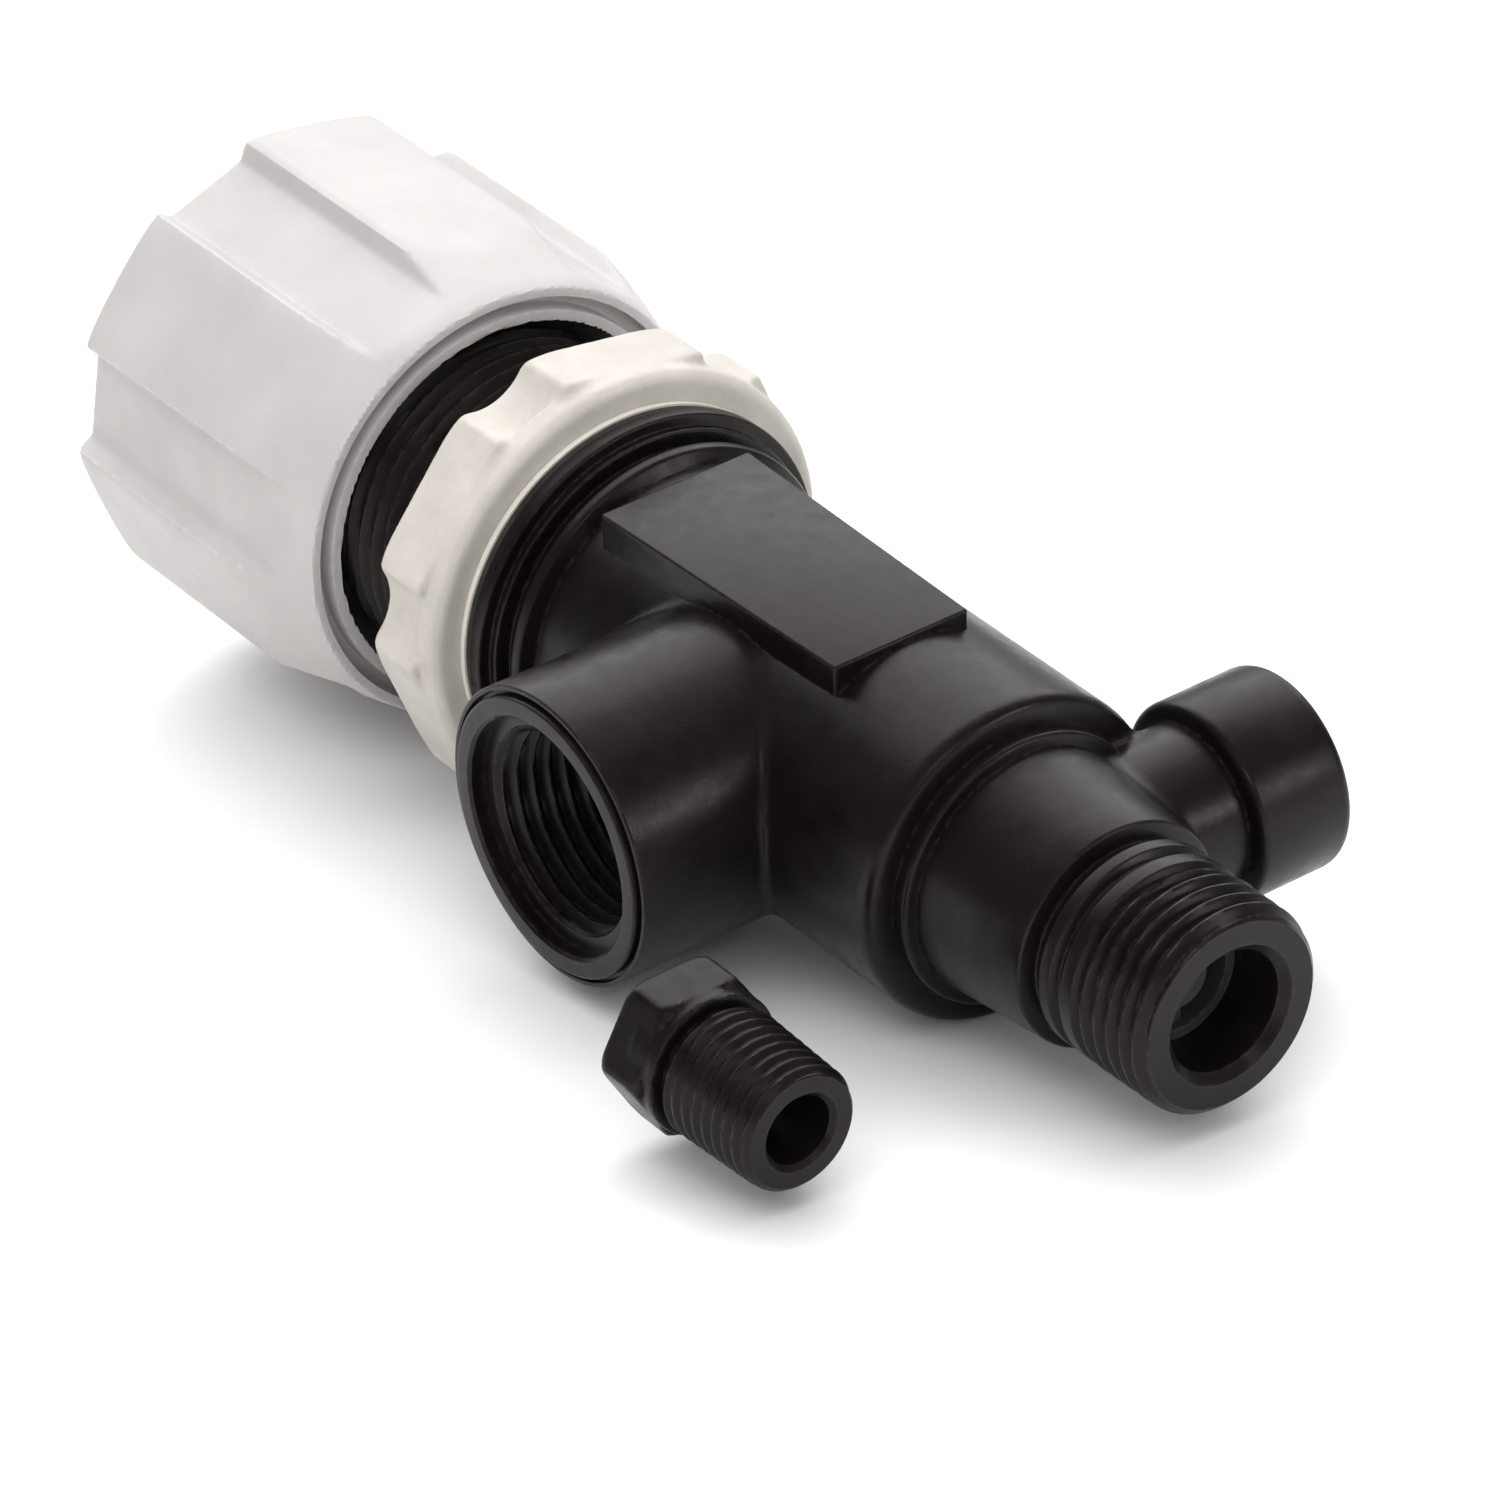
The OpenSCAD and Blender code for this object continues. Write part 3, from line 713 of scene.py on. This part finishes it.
def build_nut():
    """The lock nut, moulded in one piece."""
    nut = surface("panel_nut_moulding", nut_distance, NUT_LOW - MARGIN, NUT_HIGH + MARGIN, 0.42)
    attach(nut, "panel_nut")
    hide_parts("panel_nut")
    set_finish(nut, "nut_plastic")
    return nut


ADAPTER_AXIS = np.array((ADAPTER_POS[0], 0, ADAPTER_POS[2]))
ADAPTER_FLAT_R, ADAPTER_CORNER_R, ADAPTER_HEX_LEN = 7.1, 8.2, 5.4
ADAPTER_SHOULDER_R, ADAPTER_SHOULDER_END = 7.15, 6.7
ADAPTER_NECK_R = 5.75
ADAPTER_THREAD_START, ADAPTER_THREAD_DEPTH, ADAPTER_TAPER = 7.3, 0.5, 1 / 28
ADAPTER_BORE_R, ADAPTER_BORE_LIP_R = 3.5, 4.0


def adapter_distance(p):
    """The adapter's hex and shoulder."""
    x, y, z = (p - ADAPTER_AXIS).T
    rho = np.hypot(x, z)
    start = ADAPTER_LOW[1]
    towards, across = sixfold(x, z, 0)
    flats = hexagon_distance(towards, across, ADAPTER_FLAT_R)
    end, corner_r, edge_r = start + ADAPTER_HEX_LEN, ADAPTER_CORNER_R, ADAPTER_CORNER_R - 0.6
    outline = outline_distance(rounded([
        (-FAR, start, 0), (edge_r, start, 0.4), (corner_r, start + 0.8, 0.4), (corner_r, end - 0.7, 0.4),
        (edge_r, end, 0.3), (-FAR, end, 0),
    ]), rho, y)
    shoulder_end = start + ADAPTER_SHOULDER_END
    shoulder = np.maximum(common(rho - ADAPTER_SHOULDER_R, y - shoulder_end, 0.35), start + 3 - y)
    return joined(common(outline, flats, 0.3), shoulder, 0.15)


def build_adapter():
    """The loose hex adapter that lies in front of the inlet."""
    start, end = ADAPTER_LOW[1], ADAPTER_HIGH[1]
    grid_size = (17.5, 8.5, 16.5)
    adapter = surface("adapter_moulding", adapter_distance, ADAPTER_LOW - 1, ADAPTER_LOW + grid_size, 0.3)
    neck_start, neck_end = start + 4, start + 8.5
    neck = lathe("adapter_neck", [(0, neck_start), (ADAPTER_NECK_R, neck_start),
                                  (ADAPTER_NECK_R, neck_end), (0, neck_end)],
                 origin=ADAPTER_AXIS, segments=96)
    thread = screw("adapter_thread", ADAPTER_R + 0.1, ADAPTER_THREAD_DEPTH, QUARTER_INCH_PITCH,
                   start + ADAPTER_THREAD_START, end, origin=ADAPTER_AXIS, taper=ADAPTER_TAPER,
                   lead_in=(0.7, 0.6), segments=112)
    combine(adapter, "UNION", neck, thread)
    mouth_r, socket_end = SOCKET_R + 0.7, start + SOCKET_LEN
    bore = lathe("adapter_bore", [
        (0, start - OVERSHOOT), (mouth_r, start - OVERSHOOT), (mouth_r, start), (SOCKET_R, start + 0.7),
        (SOCKET_R, socket_end), (ADAPTER_BORE_R, socket_end + 0.1), (ADAPTER_BORE_R, end - 0.5),
        (ADAPTER_BORE_LIP_R, end), (ADAPTER_BORE_LIP_R, end + OVERSHOOT), (0, end + OVERSHOOT),
    ], origin=ADAPTER_AXIS, segments=96)
    combine(adapter, "DIFFERENCE", bore)
    shade(adapter, 32)
    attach(adapter, "valve")
    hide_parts("adapter_bushing")
    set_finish(adapter, "adapter_plastic")
    return adapter


# ---------------------------------------------------------------- the check valve's spring


def build_spring():
    """The coil spring behind the check poppet, with closed ends."""
    low, high = box_mm("check_spring")
    wire_r = 0.32
    coil_r = high[0] - wire_r
    turns, steps, around = 7, 36, 10
    closed_rise = 0.08  # of the length, which each end's closed turn takes up
    t = np.linspace(0, 1, turns * steps + 1)
    rise = np.interp(t, [0, 1 / turns, 1 - 1 / turns, 1], [0, closed_rise, 1 - closed_rise, 1])
    y = low[1] + wire_r + rise * (high[1] - low[1] - 2 * wire_r)
    turn = 2 * math.pi * turns * t
    rings = []
    for a, yy in zip(turn, y):
        radial = np.array((math.cos(a), 0, math.sin(a)))
        centre = coil_r * radial + (0, yy, 0)
        for s in np.linspace(0, 2 * math.pi, around, endpoint=False):
            rings.append(centre + wire_r * (math.cos(s) * radial + math.sin(s) * np.array((0, 1, 0))))
    faces = wrap_faces(len(t), around)
    last = (len(t) - 1) * around
    faces += [tuple(range(around))[::-1], tuple(last + c for c in range(around))]
    spring = mesh_object("check_spring_coil", rings, faces)
    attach(spring, "valve")
    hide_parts("check_spring")
    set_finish(spring, "steel")
    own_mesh(spring)
    return spring


# ---------------------------------------------------------------- materials

FULL_EDGE = 0.93  # cosine of the angle between the true and the bevelled normal on a full edge


class Nodes:
    """Short calls for building a material's nodes."""

    def __init__(self, name):
        self.material = bpy.data.materials.new(name)
        self.material.use_nodes = True
        self.tree = self.material.node_tree
        self.shader = self.tree.nodes["Principled BSDF"]

    def add(self, kind, **values):
        """A new node. Each value sets the input of that name, or else the node's own property."""
        node = self.tree.nodes.new(kind)
        for key, value in values.items():
            if key in node.inputs:
                node.inputs[key].default_value = value
            else:
                setattr(node, key, value)
        return node

    def link(self, output, socket):
        """Feeds an output into an input socket."""
        self.tree.links.new(output, socket)

    def place(self):
        """Object coordinates, which are the frame's metres."""
        return self.add("ShaderNodeTexCoord").outputs["Object"]

    def noise(self, where, size_mm, detail, roughness):
        """Noise whose features are about size_mm across, from 0 to 1."""
        node = self.add("ShaderNodeTexNoise", Scale=1 / (size_mm * MM), Detail=detail,
                        Roughness=roughness)
        self.link(where, node.inputs["Vector"])
        return node.outputs["Fac"]

    def ranged(self, value, low, high, to_low, to_high):
        """A value mapped from one range to another, and clamped."""
        node = self.add("ShaderNodeMapRange")
        for socket, v in zip(("From Min", "From Max", "To Min", "To Max"), (low, high, to_low, to_high)):
            node.inputs[socket].default_value = v
        self.link(value, node.inputs["Value"])
        return node.outputs["Result"]

    def mixed(self, factor, a, b):
        """Colour a where the factor is 0 and b where it is 1. Each is a colour or an output."""
        node = self.add("ShaderNodeMix", data_type="RGBA")
        self.link(factor, node.inputs["Factor"])
        colour_a, colour_b, result = 6, 7, 2  # the node's sockets for colours
        for socket, colour in ((colour_a, a), (colour_b, b)):
            if isinstance(colour, tuple):
                node.inputs[socket].default_value = (*colour, 1)
            else:
                self.link(colour, node.inputs[socket])
        return node.outputs[result]

    def bumps(self, *layers):
        """Bump from (height, depth in mm) layers, the coarsest first."""
        normal = None
        for height, depth in layers:
            node = self.add("ShaderNodeBump", Strength=1.0, Distance=depth * MM)
            self.link(height, node.inputs["Height"])
            if normal is not None:
                self.link(normal, node.inputs["Normal"])
            normal = node.outputs["Normal"]
        self.link(normal, self.shader.inputs["Normal"])

    def edges(self, radius_mm):
        """1 on rounded and sharp edges and 0 on flat faces, from the bevelled normal."""
        bevel = self.add("ShaderNodeBevel", samples=6, Radius=radius_mm * MM)
        flat = self.add("ShaderNodeNewGeometry").outputs["Normal"]
        dot = self.add("ShaderNodeVectorMath", operation="DOT_PRODUCT")
        self.link(bevel.outputs["Normal"], dot.inputs[0])
        self.link(flat, dot.inputs[1])
        return self.ranged(dot.outputs["Value"], 1.0, FULL_EDGE, 0.0, 1.0)


def plastic(name, dark, light, worn, roughness, grain_mm=0.35, grain_depth=0.012, wear=0.6,
            blotch_mm=9.0, specular=0.5, gloss_tint=(1.0, 1.0, 1.0)):
    """Moulded plastic: blotchy tint, fine grain, uneven gloss, and edges rubbed lighter."""
    flow_mm, scuff_mm, edge_mm = 2.2, 0.9, 0.55
    n = Nodes(name)
    where = n.place()
    blotch = n.noise(where, blotch_mm, 4, 0.6)
    grain = n.noise(where, grain_mm, 3, 0.65)
    flow = n.noise(where, flow_mm, 3, 0.55)
    edge = n.edges(edge_mm)
    scuffs = n.ranged(n.noise(where, scuff_mm, 5, 0.7), 0.42, 0.62, 0.0, wear)
    worn_edge = n.add("ShaderNodeMath", operation="MULTIPLY")
    n.link(edge, worn_edge.inputs[0])
    n.link(scuffs, worn_edge.inputs[1])
    tint = n.mixed(n.ranged(blotch, 0.3, 0.7, 0, 1), dark, light)
    tint = n.mixed(n.ranged(grain, 0.35, 0.75, 0, 0.35), tint, light)
    n.link(n.mixed(worn_edge.outputs[0], tint, worn), n.shader.inputs["Base Color"])
    gloss = n.ranged(flow, 0.25, 0.75, roughness - 0.07, roughness + 0.08)
    n.link(gloss, n.shader.inputs["Roughness"])
    n.bumps((blotch, 0.05), (flow, 0.018), (grain, grain_depth))
    n.shader.inputs["Specular IOR Level"].default_value = specular
    n.shader.inputs["Specular Tint"].default_value = (*gloss_tint, 1)
    return n.material


def rubber(name):
    """Black elastomer with bloom and a fine moulding texture."""
    n = Nodes(name)
    where = n.place()
    bloom = n.noise(where, 3.5, 4, 0.6)
    grain = n.noise(where, 0.25, 3, 0.7)
    worn = n.edges(0.3)
    tint = n.mixed(n.ranged(bloom, 0.35, 0.7, 0, 1), (0.012, 0.012, 0.012), (0.035, 0.034, 0.033))
    n.link(n.mixed(n.ranged(worn, 0, 1, 0, 0.4), tint, (0.06, 0.06, 0.058)), n.shader.inputs["Base Color"])
    n.link(n.ranged(bloom, 0.3, 0.7, 0.55, 0.75), n.shader.inputs["Roughness"])
    n.bumps((bloom, 0.02), (grain, 0.012))
    return n.material


def metal(name, colour, tarnish, roughness, turned_mm):
    """Turned or drawn metal: fine lathe lines, tarnish in blotches and brighter edges."""
    n = Nodes(name)
    where = n.place()
    bands_apart = 0.31  # how far apart the wave texture's bands are at a scale of 1
    lines = n.add("ShaderNodeTexWave", wave_type="BANDS", bands_direction="Y",
                  Scale=bands_apart / (turned_mm * MM), Distortion=2.5, Detail=3.0)
    n.link(where, lines.inputs["Vector"])
    blotch = n.noise(where, 4.0, 4, 0.6)
    fine = n.noise(where, 0.12, 2, 0.5)
    edge = n.edges(0.25)
    tint = n.mixed(n.ranged(blotch, 0.35, 0.7, 0, 0.7), colour, tarnish)
    bright = tuple(min(1.0, c * 1.15) for c in colour)
    n.link(n.mixed(n.ranged(edge, 0, 1, 0, 0.6), tint, bright), n.shader.inputs["Base Color"])
    n.link(n.ranged(blotch, 0.3, 0.75, roughness, roughness + 0.14), n.shader.inputs["Roughness"])
    n.shader.inputs["Metallic"].default_value = 1.0
    n.bumps((lines.outputs["Fac"], 0.006), (fine, 0.003))
    return n.material


def slot_materials():
    """One finished material for each of the record's material slots."""
    warm = (1.0, 0.93, 0.90)
    return {
        "body_plastic": plastic("body_plastic", (0.0036, 0.0028, 0.0024), (0.0072, 0.0058, 0.0050),
                                (0.044, 0.039, 0.036), 0.32, specular=0.23, gloss_tint=warm),
        "adapter_plastic": plastic("adapter_plastic", (0.0032, 0.0025, 0.0021), (0.0066, 0.0053, 0.0046),
                                   (0.032, 0.028, 0.026), 0.35, grain_mm=0.3, specular=0.22,
                                   gloss_tint=warm),
        "bonnet_plastic": plastic("bonnet_plastic", (0.03, 0.028, 0.027), (0.045, 0.042, 0.04),
                                  (0.11, 0.105, 0.1), 0.5),
        "knob_plastic": plastic("knob_plastic", (0.45, 0.43, 0.425), (0.53, 0.51, 0.503),
                                (0.70, 0.685, 0.68), 0.45, grain_mm=0.4, wear=0.5, blotch_mm=14,
                                specular=0.3),
        "cap_plastic": plastic("cap_plastic", (0.42, 0.405, 0.4), (0.49, 0.475, 0.47),
                               (0.62, 0.605, 0.6), 0.4, wear=0.5),
        "nut_plastic": plastic("nut_plastic", (0.48, 0.448, 0.41), (0.585, 0.55, 0.508),
                               (0.70, 0.672, 0.63), 0.55, grain_mm=0.6, grain_depth=0.03, wear=0.7,
                               blotch_mm=5, specular=0.3),
        "washer_plastic": plastic("washer_plastic", (0.66, 0.62, 0.55), (0.76, 0.72, 0.65),
                                  (0.85, 0.82, 0.76), 0.45),
        "white_plastic": plastic("white_plastic", (0.74, 0.71, 0.64), (0.82, 0.79, 0.72),
                                 (0.88, 0.86, 0.8), 0.35),
        "seal_rubber": rubber("seal_rubber"),
        "brass": metal("brass", (0.72, 0.5, 0.24), (0.5, 0.33, 0.15), 0.28, 0.15),
        "steel": metal("steel", (0.6, 0.6, 0.61), (0.42, 0.42, 0.43), 0.26, 0.12),
        "mesh_steel": metal("mesh_steel", (0.55, 0.56, 0.57), (0.4, 0.41, 0.42), 0.34, 0.2),
    }


def finish_pieces(pieces, materials):
    """Gives every CAD node that still shows, and every new piece, its slot's material."""
    for subpart in frame["record"]["subparts"]:
        obj = frame["nodes"][subpart["node"]]
        obj.data.materials.clear()
        obj.data.materials.append(materials[subpart["material_slot"]])
    for piece in pieces:
        piece.data.materials.clear()
        piece.data.materials.append(materials[piece["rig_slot"]])


# ---------------------------------------------------------------- floor, lights and camera


def resting_normal():
    """Up, for the floor that the knob's shoulder, the inlet's rim and the outlet's lip rest on.

    The plane touches the three at (0, flute end), (INLET_X, INLET_Y) and (0, OUTLET_Y). The radii
    are how far below the axis it passes there, for a normal (a, b, 1) with small a and b.
    """
    knob_r, inlet_rim_r, outlet_rim_r = 25.6, 15.3, 10.6
    b = (outlet_rim_r - knob_r) / (OUTLET_Y - KNOB_FLUTE_END)
    a = ((OUTLET_Y - INLET_Y) * b + inlet_rim_r - outlet_rim_r) / INLET_X
    return Vector((a, b, 1)).normalized()


def build_floor(pieces, up):
    """A plain pale floor that touches the lowest points along its own normal."""
    width, speck_mm = 6, 40
    lowest = min(min(up @ v.co for v in piece.data.vertices) for piece in pieces)
    bpy.ops.mesh.primitive_plane_add(size=width)
    floor = bpy.context.object
    floor.name = "floor"
    floor.rotation_mode = "QUATERNION"
    floor.rotation_quaternion = up.to_track_quat("Z", "Y")
    floor.location = up * lowest + MIDDLE - up * (up @ MIDDLE)
    n = Nodes("floor_paper")
    speck = n.noise(n.place(), speck_mm, 3, 0.5)
    n.link(n.mixed(speck, (0.86, 0.86, 0.855), (0.88, 0.88, 0.875)), n.shader.inputs["Base Color"])
    n.shader.inputs["Roughness"].default_value = 0.9
    n.shader.inputs["Specular IOR Level"].default_value = 0.1
    floor.data.materials.append(n.material)
    return floor


def soft_light(name, towards, distance, width, height, power):
    """A rectangular area light in a direction from the valve, aimed at it."""
    data = bpy.data.lights.new(name, "AREA")
    data.shape, data.size, data.size_y, data.energy = "RECTANGLE", width, height, power
    light = bpy.data.objects.new(name, data)
    bpy.context.scene.collection.objects.link(light)
    towards = Vector(towards).normalized()
    light.location = MIDDLE + towards * distance
    light.rotation_mode = "QUATERNION"
    light.rotation_quaternion = towards.to_track_quat("Z", "Y")
    light.visible_camera = False
    return light


def build_surround():
    """A dim world that brightens smoothly towards the side of the softbox."""
    brightest = Vector((-0.60, -0.50, 0.62)).normalized()
    world = bpy.data.worlds.new("surround")
    bpy.context.scene.world = world
    world.use_nodes = True
    nodes, links = world.node_tree.nodes, world.node_tree.links
    direction = nodes.new("ShaderNodeTexCoord").outputs["Generated"]
    facing = nodes.new("ShaderNodeVectorMath")
    facing.operation = "DOT_PRODUCT"
    facing.inputs[1].default_value = brightest
    strength = nodes.new("ShaderNodeMapRange")
    strength.interpolation_type = "SMOOTHSTEP"
    for socket, value in (("From Min", 0.55), ("From Max", 0.97), ("To Min", 0.16), ("To Max", 0.9)):
        strength.inputs[socket].default_value = value
    links.new(direction, facing.inputs[0])
    links.new(facing.outputs["Value"], strength.inputs["Value"])
    background = nodes["Background"]
    background.inputs["Color"].default_value = (1.0, 0.995, 0.985, 1)
    links.new(strength.outputs["Result"], background.inputs["Strength"])


def build_lights():
    """A large softbox up behind the valve, two strips and two diffuse lights.

    The overhead and fill lights are kept out of reflections, so that they lift the floor and the
    pale parts and leave the black plastic to the softbox.
    """
    soft_light("back_softbox", (-0.38, -0.69, 0.60), 1.0, 1.7, 0.9, 9.3)
    soft_light("side_strip", (-0.48, 0.82, 0.33), 1.0, 0.30, 0.22, 1.5)
    soft_light("front_strip", (0.20, 0.70, 0.66), 1.0, 0.5, 0.1, 0.8)
    overhead = soft_light("overhead", (-0.1, -0.1, 1.0), 1.1, 1.8, 1.8, 13.0)
    fill = soft_light("fill", (0.70, 0.30, 0.75), 1.3, 1.6, 1.6, 10.5)
    for light in (overhead, fill):
        light.visible_glossy = False


def build_camera():
    """The camera, at the photograph's viewing angle and distance."""
    data = bpy.data.cameras.new("camera")
    data.lens, data.sensor_width = 209.8, 36
    camera = bpy.data.objects.new("camera", data)
    bpy.context.scene.collection.objects.link(camera)
    camera.location = (0.4032, 0.5831, 0.4576)
    aim, roll = Vector((0.0033, 0.0222, -0.0050)), math.radians(-2.39)
    level = (aim - camera.location).to_track_quat("-Z", "Y")
    camera.rotation_mode = "QUATERNION"
    camera.rotation_quaternion = level @ Quaternion((0, 0, 1), roll)
    data.clip_start, data.clip_end = 0.01, 20
    bpy.context.scene.camera = camera


# ---------------------------------------------------------------- the scene


bpy.context.scene.view_settings.view_transform = "Standard"
PIECES = [build_body(), build_knob(), build_nut(), build_adapter(), build_spring()]
finish_pieces(PIECES, slot_materials())
build_floor(PIECES, resting_normal())
build_surround()
build_lights()
build_camera()
